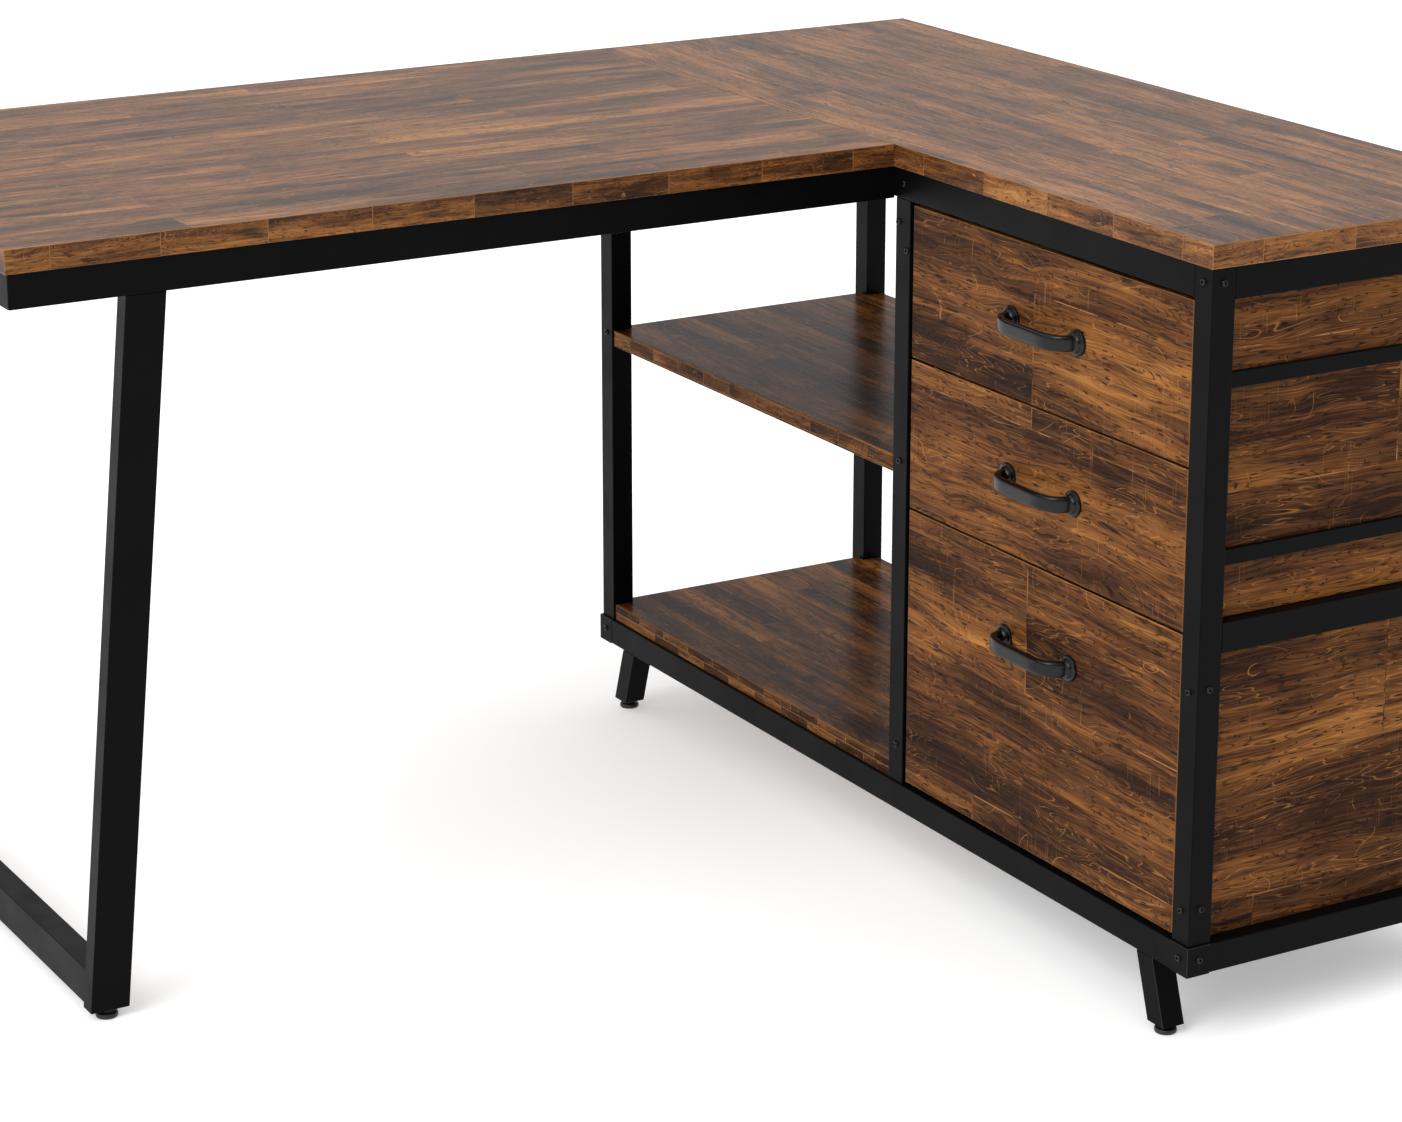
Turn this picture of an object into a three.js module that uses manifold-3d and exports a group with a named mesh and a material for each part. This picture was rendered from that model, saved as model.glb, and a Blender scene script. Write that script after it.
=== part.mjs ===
// An L-shaped corner desk: a main worktop on a steel apron and one slanted loop leg, and a return
// worktop on a steel cabinet frame with two open shelves and three drawers.
// Millimetres. +Z is up, +Y runs from the sitter to the back edge, and the main wing runs along X.
// The origin is on the floor, under the middle of the overall rectangle that the two wings fill.
import * as THREE from "three";
import { mergeVertices } from "three/addons/utils/BufferGeometryUtils.js";
import Module from "manifold-3d";

const wasm = await Module();
wasm.setup();

// ---- Driving dimensions ------------------------------------------------------------------------
const deskHeight = 750;
const topThickness = 22;
const mainInnerLength = 900; // main wing, from its free end to the return's inner edge
const mainDepth = 600;
const returnWidth = 400;
const returnInnerLength = 500; // return, from the main wing's front edge to its free end
const topInset = 3; // steel sits this far inside the worktop's edge
const outerOverhang = 37; // worktop beyond the cabinet on the side away from the sitter
const fitGap = 0.3; // between a board or a cut piece and the steel beside it

const postSize = 25;
const postWall = 1.5;
const topRailHeight = 30;
const topRailWidth = 20;
const railAngleHeight = 28; // bottom rails and the middle end bar
const railAngleDepth = postSize; // the ledges reach the posts' inner faces
const sheet = 2; // thickness of the angle steel
const cabinetClearance = 72; // floor to the underside of the bottom rails

const apronHeight = 32;
const apronWidth = 20;
const tubeWall = 1.5;

const legInset = 110; // main wing's free end to the loop leg, at its top
const legWidth = 38; // loop leg tube along X
const legDepth = 20; // and along Y
const legOutward = 43; // how far the loop leg's foot stands out towards the free end
const legInward = 52; // how far each upright's foot stands in from its top
const footBarWidth = 25;
const footBarHeight = 34;
const footBarLift = 5; // foot bar above the uprights' lower ends
const endPlate = 3; // closes a leg's lower end and holds its leveller

const shortLegSize = 24;
const shortLegInset = 50; // rail end to the short leg, at the rail's underside
const shortLegSplay = 20; // how far its foot stands out from there

const levellerRadius = 10.5;
const levellerHeight = 9; // floor to the legs' lower ends
const stemRadius = 4;
const stemLength = 14; // above the leveller's pad
const stemClearance = 0.4;

const shelfThickness = 18;
const shelfHeight = 420; // floor to the underside of the upper shelf
const shelfFrontInset = 2;
const shelfBackInset = 12;
const shelfOuterInset = 5;

const panelThickness = 12;
const panelRecess = postSize - panelThickness; // panels lie flush with the posts' inner faces
const middleBarDrop = 13; // file drawer's upper edge to the underside of the middle end bar
const slideBarHeight = 15; // the two bars that carry the upper drawers' slides
const slideBarThickness = 4;

const frontThickness = 15;
const frontInset = 2; // drawer fronts behind the posts' faces
const frontSideGap = 3;
const frontTopGap = 4;
const frontGap = 2.5; // between one drawer front and the next
const frontBottomGap = 4;
const shallowFront = 150; // the file drawer's front fills the height that is left
const slideClearance = 13; // cabinet side to drawer box, which the slide fills
const boxBackGap = 13; // drawer box to the cabinet's outer panel
const boxWall = 12;
const boxBottom = 6;
const boxLift = 12; // box above the lower edge of its front
const shallowBox = 100;
const fileBoxDrop = 43; // file drawer's upper edge to its box

const slideFrontGap = 1; // drawer front to its slides
const slideBackGap = 4; // slides to the back of the box
const slideHeight = 40;
const slideDepth = 10;
const runnerHeight = 28;
const runnerDepth = 8.5;
const slideSheet = 1.2;
const slideRise = { upper: 17, middle: 7.5, file: 19 }; // box's middle to its slides' middle

const pullSpan = 105; // between the middles of a pull's two feet
const pullReach = 28;
const pullHeight = 15; // the strap's section, upright
const pullThickness = 8; // and towards the front
const pullBend = 30; // length of the curve from foot to straight strap
const pullFootRadius = 12.5;
const pullFootHeight = 4.5;
const shallowPullDrop = 75; // drawer front's upper edge to its pull
const filePullDrop = 82;

// ---- Places that follow from them --------------------------------------------------------------
const overallLength = mainInnerLength + returnWidth;
const overallDepth = mainDepth + returnInnerLength;
const xLeft = -overallLength / 2;
const xRight = overallLength / 2;
const xInner = xLeft + mainInnerLength; // the return's inner edge
const yBack = overallDepth / 2;
const yFront = -overallDepth / 2;
const yInner = yBack - mainDepth; // the main wing's front edge
const zTop = deskHeight - topThickness; // underside of the worktops

const frame = {
  x0: xInner + topInset,
  x1: xRight - outerOverhang,
  y0: yFront + topInset,
  y1: yBack - topInset,
  z0: cabinetClearance,
};
const shelfPostY = yInner - postSize; // the middle posts stand just in front of the main wing
const openingY0 = frame.y0 + postSize; // the drawer opening, from side to side
const openingY1 = shelfPostY;
const railTop = frame.z0 + railAngleHeight;
const topRailZ = zTop - topRailHeight;
const betweenPosts = [frame.x0 + postSize, frame.x1 - postSize];

// Drawers from the top down: each front's lower and upper edge, its box and its slides' middle.
const upperEdge = topRailZ - frontTopGap;
const middleEdge = upperEdge - shallowFront - frontGap;
const fileEdge = middleEdge - shallowFront - frontGap;
const fileLowerEdge = railTop + frontBottomGap;
const drawers = [
  {
    name: "upper",
    low: upperEdge - shallowFront,
    high: upperEdge,
    box: shallowBox,
    pullDrop: shallowPullDrop,
  },
  {
    name: "middle",
    low: middleEdge - shallowFront,
    high: middleEdge,
    box: shallowBox,
    pullDrop: shallowPullDrop,
  },
  {
    name: "file",
    low: fileLowerEdge,
    high: fileEdge,
    box: fileEdge - fileBoxDrop - fileLowerEdge - boxLift,
    pullDrop: filePullDrop,
  },
];
const slideLevel = ({ name, low, box }) => low + boxLift + box / 2 + slideRise[name];
const middleBarZ = fileEdge - middleBarDrop;

// ---- Finishes ----------------------------------------------------------------------------------
const finish = (color, roughness, metalness) =>
  new THREE.MeshStandardMaterial({ color, roughness, metalness });
const board = finish("#7a5034", 0.5, 0);
const blackSteel = finish("#1d1e20", 0.5, 0.3);
const drawerBoard = finish("#2a2725", 0.6, 0);
const slideSteel = finish("#8d9094", 0.35, 0.9);
const footPlastic = finish("#0f0f10", 0.45, 0);

const desk = new THREE.Group();

// ---- Small helpers -----------------------------------------------------------------------------
function place(name, geometry, material, x = 0, y = 0, z = 0) {
  const mesh = new THREE.Mesh(geometry, material);
  mesh.name = name;
  mesh.position.set(x, y, z);
  desk.add(mesh);
  return mesh;
}

// A box between two opposite corners, as a geometry in desk coordinates.
function block([x0, y0, z0], [x1, y1, z1]) {
  return new THREE.BoxGeometry(x1 - x0, y1 - y0, z1 - z0).translate(
    (x0 + x1) / 2,
    (y0 + y1) / 2,
    (z0 + z1) / 2,
  );
}

function placeBlock(name, material, low, high) {
  const size = high.map((v, i) => v - low[i]);
  const middle = high.map((v, i) => (v + low[i]) / 2);
  return place(name, new THREE.BoxGeometry(...size), material, ...middle);
}

function toSolid(geometry) {
  const bare = geometry.index ? geometry.toNonIndexed() : geometry.clone();
  bare.deleteAttribute("normal");
  bare.deleteAttribute("uv");
  const merged = mergeVertices(bare, 1e-4);
  return new wasm.Manifold(
    new wasm.Mesh({
      numProp: 3,
      vertProperties: new Float32Array(merged.attributes.position.array),
      triVerts: new Uint32Array(merged.index.array),
    }),
  );
}

function toGeometry(solid) {
  const mesh = solid.getMesh();
  const points = new Float32Array(mesh.numVert * 3);
  for (let i = 0; i < mesh.numVert; i++) {
    const from = i * mesh.numProp;
    points.set(mesh.vertProperties.subarray(from, from + 3), i * 3);
  }
  const geometry = new THREE.BufferGeometry();
  geometry.setAttribute("position", new THREE.BufferAttribute(points, 3));
  geometry.setIndex(new THREE.BufferAttribute(mesh.triVerts, 1));
  geometry.computeVertexNormals();
  return geometry;
}

const joined = (...parts) => toGeometry(parts.map(toSolid).reduce((a, b) => a.add(b)));
const cut = (part, ...tools) =>
  toGeometry(tools.map(toSolid).reduce((a, b) => a.subtract(b), toSolid(part)));

function rectangle(x0, y0, x1, y1) {
  return new THREE.Shape([
    new THREE.Vector2(x0, y0),
    new THREE.Vector2(x1, y0),
    new THREE.Vector2(x1, y1),
    new THREE.Vector2(x0, y1),
  ]);
}

const extrude = (shape, depth) =>
  new THREE.ExtrudeGeometry(shape, { depth, bevelEnabled: false });

// A square or rectangular tube along Z, with its section's low corner at the origin.
function tubeGeometry(width, depth, length, wall) {
  const section = rectangle(0, 0, width, depth);
  section.holes.push(rectangle(wall, wall, width - wall, depth - wall));
  return extrude(section, length);
}

// The same tube laid along X or along Y, in desk coordinates, from its low corner.
function tubeAlongX([x, y, z], length, width, height, wall = tubeWall) {
  return tubeGeometry(width, height, length, wall)
    .rotateX(Math.PI / 2)
    .rotateZ(Math.PI / 2)
    .translate(x, y, z);
}

function tubeAlongY([x, y, z], length, width, height, wall = tubeWall) {
  return tubeGeometry(width, height, length, wall)
    .rotateX(Math.PI / 2)
    .translate(x, y + length, z);
}

// Leans a geometry: at heights below zFixed it moves by (dx, dy) for each millimetre of drop.
function lean(geometry, dx, dy, zFixed) {
  const shear = new THREE.Matrix4().set(
    1, 0, -dx, dx * zFixed,
    0, 1, -dy, dy * zFixed,
    0, 0, 1, 0,
    0, 0, 0, 1,
  );
  return geometry.applyMatrix4(shear);
}

// ---- Worktops ----------------------------------------------------------------------------------
placeBlock("main_top", board, [xLeft, yInner, zTop], [xInner - fitGap, yBack, deskHeight]);
placeBlock("return_top", board, [xInner, yFront, zTop], [xRight, yBack, deskHeight]);

// ---- Apron under the main wing, mitred where it turns the two free corners ----------------------
const apron = {
  x0: xLeft + topInset,
  x1: frame.x0,
  y0: yInner + topInset,
  y1: yBack - topInset,
  z: zTop - apronHeight,
};

// Cuts an apron at 45 degrees through the outer corner (x, y); keep points along the kept side.
function mitred(geometry, x, y, keepX, keepY) {
  const reach = 60;
  const away = (reach - fitGap / 2) / Math.SQRT2;
  const cutter = new THREE.BoxGeometry(2 * reach, 2 * reach, 2 * reach)
    .rotateZ(Math.PI / 4)
    .translate(x - keepX * away, y - keepY * away, zTop);
  return cut(geometry, cutter);
}

const apronLength = apron.x1 - apron.x0;
const apronFront = tubeAlongX([apron.x0, apron.y0, apron.z], apronLength, apronWidth, apronHeight);
place("apron_front", mitred(apronFront, apron.x0, apron.y0, 1, -1), blackSteel);
const apronBackY = apron.y1 - apronWidth;
const apronBack = tubeAlongX([apron.x0, apronBackY, apron.z], apronLength, apronWidth, apronHeight);
place("apron_back", mitred(apronBack, apron.x0, apron.y1, 1, 1), blackSteel);
const apronDepth = apron.y1 - apron.y0;
const apronEnd = tubeAlongY([apron.x0, apron.y0, apron.z], apronDepth, apronWidth, apronHeight);
const endCutFront = mitred(apronEnd, apron.x0, apron.y0, -1, 1);
place("apron_end", mitred(endCutFront, apron.x0, apron.y1, -1, -1), blackSteel);

// ---- Loop leg: two uprights and a foot bar, welded into one piece --------------------------------
const legDrop = apron.z - levellerHeight;
const legLeanX = -legOutward / legDrop;
const legLeanY = legInward / legDrop;
const legX = xLeft + legInset;

// One upright's prism, shrunk by a margin on its sides, between two heights.
function upright(front, margin, z0, z1) {
  const y0 = front ? apron.y0 : apron.y1 - legDepth;
  const low = [legX + margin, y0 + margin, z0];
  const high = [legX + legWidth - margin, y0 + legDepth - margin, z1];
  return lean(block(low, high), legLeanX, front ? legLeanY : -legLeanY, apron.z);
}

function footBar(margin) {
  const z0 = levellerHeight + footBarLift + margin;
  const z1 = levellerHeight + footBarLift + footBarHeight - margin;
  const end = legInward + legDepth / 2;
  const low = [legX + margin, apron.y0 + end, z0];
  const high = [legX + footBarWidth - margin, apron.y1 - end, z1];
  return lean(block(low, high), legLeanX, 0, apron.z);
}

function stemHole(x, y) {
  return new THREE.CylinderGeometry(
    stemRadius + stemClearance,
    stemRadius + stemClearance,
    4 * endPlate,
    24,
  )
    .rotateX(Math.PI / 2)
    .translate(x, y, levellerHeight);
}

const legFootX = legX + legWidth / 2 - legOutward;
const legFeet = [apron.y0 + legDepth / 2 + legInward, apron.y1 - legDepth / 2 - legInward];
const legSkin = joined(
  upright(true, 0, levellerHeight, apron.z),
  upright(false, 0, levellerHeight, apron.z),
  footBar(0),
);
const legHollow = joined(
  upright(true, tubeWall, levellerHeight + endPlate, deskHeight),
  upright(false, tubeWall, levellerHeight + endPlate, deskHeight),
  footBar(tubeWall),
);
const legHoles = legFeet.map((y) => stemHole(legFootX, y));
place("leg_frame", cut(legSkin, legHollow, ...legHoles), blackSteel);

// ---- Cabinet frame -----------------------------------------------------------------------------
const postColumns = { inner: frame.x0, outer: frame.x1 - postSize };
const postRows = { front: frame.y0, middle: shelfPostY, back: frame.y1 - postSize };
for (const [row, y] of Object.entries(postRows)) {
  for (const [column, x] of Object.entries(postColumns)) {
    const top = row === "middle" ? topRailZ : zTop; // the long top rails pass over the middle posts
    const length = top - frame.z0;
    const post = tubeGeometry(postSize, postSize, length, postWall);
    place("post_" + row + "_" + column, post, blackSteel, x, y, frame.z0);
  }
}

const railY = frame.y0 + postSize;
const railLengthY = frame.y1 - frame.y0 - 2 * postSize;
const railLengthX = betweenPosts[1] - betweenPosts[0];
const outerRailX = frame.x1 - topRailWidth;
const backRailY = frame.y1 - topRailWidth;
const railSection = [topRailWidth, topRailHeight];
const topRails = {
  top_rail_inner: tubeAlongY([frame.x0, railY, topRailZ], railLengthY, ...railSection),
  top_rail_outer: tubeAlongY([outerRailX, railY, topRailZ], railLengthY, ...railSection),
  top_rail_front: tubeAlongX([betweenPosts[0], frame.y0, topRailZ], railLengthX, ...railSection),
  top_rail_back: tubeAlongX([betweenPosts[0], backRailY, topRailZ], railLengthX, ...railSection),
};
for (const [name, geometry] of Object.entries(topRails)) place(name, geometry, blackSteel);

// The long bottom rails: an upright flange outside the posts, and a shelf flange between them.
function longBottomRail(outside, inside) {
  const ledge = (y0, y1) =>
    block(
      [Math.min(outside, inside), y0, railTop - sheet],
      [Math.max(outside, inside), y1, railTop],
    );
  const face = block(
    [Math.min(outside, outside + Math.sign(outside - inside) * sheet), frame.y0, frame.z0],
    [Math.max(outside, outside + Math.sign(outside - inside) * sheet), frame.y1, railTop],
  );
  const postGap = [shelfPostY - fitGap, shelfPostY + postSize + fitGap];
  const endGap = postSize + fitGap;
  const front = ledge(frame.y0 + endGap, postGap[0]);
  const back = ledge(postGap[1], frame.y1 - endGap);
  return joined(face, front, back);
}
place(
  "bottom_rail_inner",
  longBottomRail(frame.x0, frame.x0 + railAngleDepth),
  blackSteel,
);
place(
  "bottom_rail_outer",
  longBottomRail(frame.x1, frame.x1 - railAngleDepth),
  blackSteel,
);

// The short bottom rails cover the ends of the long ones. The front one carries the end panel.
function shortBottomRail(outside, inside) {
  const outward = Math.sign(outside - inside) * sheet;
  const face = block(
    [frame.x0 - sheet, Math.min(outside, outside + outward), frame.z0],
    [frame.x1 + sheet, Math.max(outside, outside + outward), railTop],
  );
  const ledge = block(
    [betweenPosts[0] + fitGap, Math.min(outside, inside), railTop - sheet],
    [betweenPosts[1] - fitGap, Math.max(outside, inside), railTop],
  );
  return joined(face, ledge);
}
place(
  "bottom_rail_front",
  shortBottomRail(frame.y0, frame.y0 + railAngleDepth),
  blackSteel,
);
place(
  "bottom_rail_back",
  shortBottomRail(frame.y1, frame.y1 - railAngleDepth),
  blackSteel,
);

// ---- Short legs under the cabinet, and every leveller -------------------------------------------
const shortLegDrop = frame.z0 - levellerHeight;
const splay = shortLegSplay / shortLegDrop;
const feet = legFeet.map((y) => [legFootX, y]);

function shortLeg(inner, front) {
  const outsideX = inner ? frame.x0 - sheet : frame.x1 + sheet;
  const x0 = inner ? outsideX : outsideX - shortLegSize;
  const y0 = front ? frame.y0 + shortLegInset : frame.y1 - shortLegInset - shortLegSize;
  const direction = front ? -1 : 1;
  const legTop = railTop - sheet - fitGap;
  const prism = (margin, z0, z1) =>
    lean(
      block(
        [x0 + margin, y0 + margin, z0],
        [x0 + shortLegSize - margin, y0 + shortLegSize - margin, z1],
      ),
      0,
      direction * splay,
      frame.z0,
    );
  const footX = x0 + shortLegSize / 2;
  const footY = y0 + shortLegSize / 2 + direction * shortLegSplay;
  feet.push([footX, footY]);
  // Above the rail's lower edge the leg stands behind the rail's face.
  const faceX = inner ? frame.x0 + fitGap : frame.x1 - fitGap;
  const notch = block(
    [Math.min(faceX, faceX + (inner ? -1 : 1) * postSize), yFront, frame.z0 - fitGap],
    [Math.max(faceX, faceX + (inner ? -1 : 1) * postSize), yBack, deskHeight],
  );
  const skin = prism(0, levellerHeight, legTop);
  const hollow = prism(tubeWall, levellerHeight + endPlate, frame.z0 - 2 * endPlate);
  return cut(skin, notch, hollow, stemHole(footX, footY));
}
place("short_leg_front_inner", shortLeg(true, true), blackSteel);
place("short_leg_front_outer", shortLeg(false, true), blackSteel);
place("short_leg_back_inner", shortLeg(true, false), blackSteel);
place("short_leg_back_outer", shortLeg(false, false), blackSteel);

const levellerNames = [
  "leveller_main_front",
  "leveller_main_back",
  "leveller_front_inner",
  "leveller_front_outer",
  "leveller_back_inner",
  "leveller_back_outer",
];
const padTop = levellerHeight - stemClearance;
const levellerProfile = [
  [0, 0],
  [levellerRadius - 1.5, 0],
  [levellerRadius, 1.5],
  [levellerRadius, 0.5 * padTop],
  [levellerRadius - 2.5, 0.6 * padTop],
  [levellerRadius - 3, padTop],
  [stemRadius, padTop],
  [stemRadius, padTop + stemLength],
  [0, padTop + stemLength],
].map(([r, z]) => new THREE.Vector2(r, z));
feet.forEach(([x, y], i) => {
  const leveller = new THREE.LatheGeometry(levellerProfile, 24).rotateX(Math.PI / 2);
  place(levellerNames[i], leveller, footPlastic, x, y, 0);
});

// ---- Shelves, notched round the back posts ------------------------------------------------------
function shelf(name, z) {
  const x0 = frame.x0 + shelfFrontInset;
  const x1 = frame.x1 - shelfOuterInset;
  const y0 = shelfPostY + postSize + fitGap;
  const y1 = frame.y1 - shelfBackInset;
  const notchY = frame.y1 - postSize - fitGap;
  const notchX0 = frame.x0 + postSize + fitGap;
  const notchX1 = frame.x1 - postSize - fitGap;
  const outline = new THREE.Shape(
    [
      [x0, y0],
      [x1, y0],
      [x1, notchY],
      [notchX1, notchY],
      [notchX1, y1],
      [notchX0, y1],
      [notchX0, notchY],
      [x0, notchY],
    ].map(([x, y]) => new THREE.Vector2(x, y)),
  );
  place(name, extrude(outline, shelfThickness), board, 0, 0, z);
}
shelf("shelf_upper", shelfHeight);
shelf("shelf_lower", railTop);

// ---- Drawer side of the cabinet: panels and bars ------------------------------------------------
const panelX = [betweenPosts[0] + fitGap, betweenPosts[1] - fitGap];
const endPanelY = [frame.y0 + panelRecess, frame.y0 + panelRecess + panelThickness];
const middleLedgeZ = middleBarZ + railAngleHeight - sheet;
const lowerPanelZ = [railTop + fitGap, middleLedgeZ - fitGap];
const upperPanelZ = [middleLedgeZ + sheet + fitGap, topRailZ - fitGap];
function endPanel(name, [z0, z1]) {
  placeBlock(name, board, [panelX[0], endPanelY[0], z0], [panelX[1], endPanelY[1], z1]);
}
endPanel("end_panel_lower", lowerPanelZ);
endPanel("end_panel_upper", upperPanelZ);

const middleBarFace = block(
  [panelX[0], frame.y0, middleBarZ],
  [panelX[1], frame.y0 + sheet, middleBarZ + railAngleHeight],
);
const middleBarLedge = block(
  [panelX[0], frame.y0, middleLedgeZ],
  [panelX[1], frame.y0 + railAngleDepth, middleLedgeZ + sheet],
);
place("end_bar_middle", joined(middleBarFace, middleBarLedge), blackSteel);
["end_bar_upper", "end_bar_lower"].forEach((name, i) => {
  const z0 = slideLevel(drawers[i]) - slideBarHeight / 2;
  const y0 = endPanelY[0] - slideBarThickness;
  placeBlock(name, blackSteel, [panelX[0], y0, z0], [panelX[1], endPanelY[0], z0 + slideBarHeight]);
});

placeBlock(
  "partition_panel",
  board,
  [panelX[0], openingY1, frame.z0 + sheet],
  [panelX[1], openingY1 + panelThickness, zTop - fitGap],
);
const outerPanelX = frame.x1 - panelRecess - panelThickness;
placeBlock(
  "outer_side_panel",
  board,
  [outerPanelX, openingY0 + fitGap, railTop + fitGap],
  [outerPanelX + panelThickness, openingY1 - fitGap, topRailZ - fitGap],
);

// ---- Drawers -----------------------------------------------------------------------------------
// An arched strap on the plane x = 0, reaching towards -X, with a round foot under each end.
function pullGeometry() {
  const half = pullSpan / 2;
  const out = pullThickness / 2 - pullReach;
  const root = -pullFootHeight / 2;
  const point = (x, y) => new THREE.Vector3(x, y, 0);
  const path = new THREE.CurvePath();
  path.add(
    new THREE.QuadraticBezierCurve3(
      point(root, -half),
      point(out, -half),
      point(out, -half + pullBend),
    ),
  );
  path.add(new THREE.LineCurve3(point(out, -half + pullBend), point(out, half - pullBend)));
  path.add(
    new THREE.QuadraticBezierCurve3(
      point(out, half - pullBend),
      point(out, half),
      point(root, half),
    ),
  );
  const section = new THREE.Shape();
  const corner = pullThickness / 2;
  section.absarc(pullHeight / 2 - corner, 0, corner, -Math.PI / 2, Math.PI / 2, false);
  section.absarc(corner - pullHeight / 2, 0, corner, Math.PI / 2, 1.5 * Math.PI, false);
  const bar = new THREE.ExtrudeGeometry(section, {
    steps: 36,
    curveSegments: 8,
    bevelEnabled: false,
    extrudePath: path,
  });
  const footProfile = [
    [0, 0],
    [pullFootRadius, 0],
    [pullFootRadius, 0.6 * pullFootHeight],
    [pullFootRadius - 2, pullFootHeight],
    [0, pullFootHeight],
  ].map(([r, h]) => new THREE.Vector2(r, h));
  const foot = (y) =>
    new THREE.LatheGeometry(footProfile, 28).rotateZ(Math.PI / 2).translate(0, y, 0);
  return joined(bar, foot(-half), foot(half));
}

// A slide's channel along X: the web lies at y = 0 and the flanges reach towards +Y.
function channel(height, depth, length) {
  const h = height / 2;
  const inner = h - slideSheet;
  const outline = new THREE.Shape(
    [
      [0, -h],
      [depth, -h],
      [depth, -inner],
      [slideSheet, -inner],
      [slideSheet, inner],
      [depth, inner],
      [depth, h],
      [0, h],
    ].map(([y, z]) => new THREE.Vector2(y, z)),
  );
  return extrude(outline, length).rotateX(Math.PI / 2).rotateZ(Math.PI / 2);
}

const frontX = frame.x0 + frontInset;
const boxX = [frontX + frontThickness, outerPanelX - boxBackGap];
const boxY = [openingY0 + slideClearance, openingY1 - slideClearance];
const frontY = [openingY0 + frontSideGap, openingY1 - frontSideGap];
const pullY = (frontY[0] + frontY[1]) / 2;
const slideX = boxX[0] + slideFrontGap;
const slideLength = boxX[1] - slideBackGap - slideX;

function drawerBox(low, high) {
  const outside = block([boxX[0], boxY[0], low], [boxX[1], boxY[1], high]);
  const inside = block(
    [boxX[0] + boxWall, boxY[0] + boxWall, low + boxBottom],
    [boxX[1] - boxWall, boxY[1] - boxWall, high + boxWall],
  );
  return cut(outside, inside);
}

// The cabinet's channel opens towards the drawer, and the drawer's runner faces into it.
function slide(name, level, wallY, boxSideY, inward) {
  const channels = {
    rail: { geometry: channel(slideHeight, slideDepth, slideLength), y: wallY, facing: inward },
    runner: { geometry: channel(runnerHeight, runnerDepth, slideLength), y: boxSideY, facing: -inward },
  };
  for (const [part, { geometry, y, facing }] of Object.entries(channels)) {
    const mesh = place("slide_" + part + "_" + name, geometry, slideSteel, slideX, y, level);
    mesh.scale.y = facing;
  }
}

for (const drawer of drawers) {
  const { name, low, high, box, pullDrop } = drawer;
  placeBlock("drawer_front_" + name, board, [frontX, frontY[0], low], [boxX[0], frontY[1], high]);
  const boxLow = low + boxLift;
  place("drawer_box_" + name, drawerBox(boxLow, boxLow + box), drawerBoard);
  place("pull_" + name, pullGeometry(), blackSteel, frontX, pullY, high - pullDrop);
  const level = slideLevel(drawer);
  slide(name + "_front", level, openingY0, boxY[0], 1);
  slide(name + "_back", level, openingY1, boxY[1], -1);
}

export default desk;
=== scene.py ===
# %% [markdown]
# # A corner desk in wood laminate and black steel
# The desk's shapes come from its engineering model, which stays where it is. This lesson adds what
# that model leaves out: the finishes, the small hardware, soft edges, a floor, lights and a camera.

# %% Load the desk
import math

import bmesh
import bpy
from mathutils import Matrix, Vector


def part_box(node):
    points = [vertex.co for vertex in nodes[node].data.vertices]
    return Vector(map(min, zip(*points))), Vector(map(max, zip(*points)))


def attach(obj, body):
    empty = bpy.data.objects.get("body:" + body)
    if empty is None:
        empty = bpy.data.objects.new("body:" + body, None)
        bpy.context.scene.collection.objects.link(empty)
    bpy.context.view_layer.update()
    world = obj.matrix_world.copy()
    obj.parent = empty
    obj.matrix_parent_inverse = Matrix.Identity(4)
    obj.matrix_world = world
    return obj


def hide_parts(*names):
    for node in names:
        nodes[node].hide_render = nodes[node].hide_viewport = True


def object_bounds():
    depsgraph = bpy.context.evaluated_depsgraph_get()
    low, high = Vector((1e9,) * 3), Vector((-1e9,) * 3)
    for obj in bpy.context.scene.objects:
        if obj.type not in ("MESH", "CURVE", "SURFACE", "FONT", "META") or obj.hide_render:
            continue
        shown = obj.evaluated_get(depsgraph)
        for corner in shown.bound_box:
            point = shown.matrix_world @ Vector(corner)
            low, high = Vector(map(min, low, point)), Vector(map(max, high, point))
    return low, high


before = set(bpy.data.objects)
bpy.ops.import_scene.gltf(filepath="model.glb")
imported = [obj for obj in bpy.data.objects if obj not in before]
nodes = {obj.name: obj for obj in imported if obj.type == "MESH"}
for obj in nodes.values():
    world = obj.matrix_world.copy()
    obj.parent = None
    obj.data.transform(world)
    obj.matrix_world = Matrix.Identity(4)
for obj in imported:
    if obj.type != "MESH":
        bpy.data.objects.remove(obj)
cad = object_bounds()
MM = 0.001
print("The desk is", [round(v / MM) for v in cad[1] - cad[0]], "mm")

# %% [markdown]
# ## Colours and nodes
# Colours are written as the hex values that a paint chart gives, and turned to the linear light
# values that a shader works in. One small function adds every shader node, so that a material
# reads as a list of what it is made of.


# %% Turn a hex colour into linear light
def paint(code):
    """The linear RGBA of an sRGB hex colour such as 7a5034."""
    channels = [int(code[i : i + 2], 16) / 255 for i in (0, 2, 4)]
    linear = [c / 12.92 if c <= 0.04045 else ((c + 0.055) / 1.055) ** 2.4 for c in channels]
    return (*linear, 1.0)


print("Mid grey is", [round(c, 3) for c in paint("808080")])


# %% Add a node with its settings and links
def add(tree, kind, inputs=None, **settings):
    """Adds a shader node. An input that is another node's socket is linked, any other is set."""
    node = tree.nodes.new("ShaderNode" + kind)
    for name, value in settings.items():
        setattr(node, name, value)
    for name, value in (inputs or {}).items():
        if isinstance(value, bpy.types.NodeSocket):
            tree.links.new(value, node.inputs[name])
        else:
            node.inputs[name].default_value = value
    return node


def new_material(name, **surface):
    """An empty material with one surface shader, whose plain values are given by name."""
    material = bpy.data.materials.new(name)
    material.use_nodes = True
    tree = material.node_tree
    shader = tree.nodes["Principled BSDF"]
    for socket, value in surface.items():
        shader.inputs[socket.replace("_", " ")].default_value = value
    return material, tree, shader


print("Helpers are ready")

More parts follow.
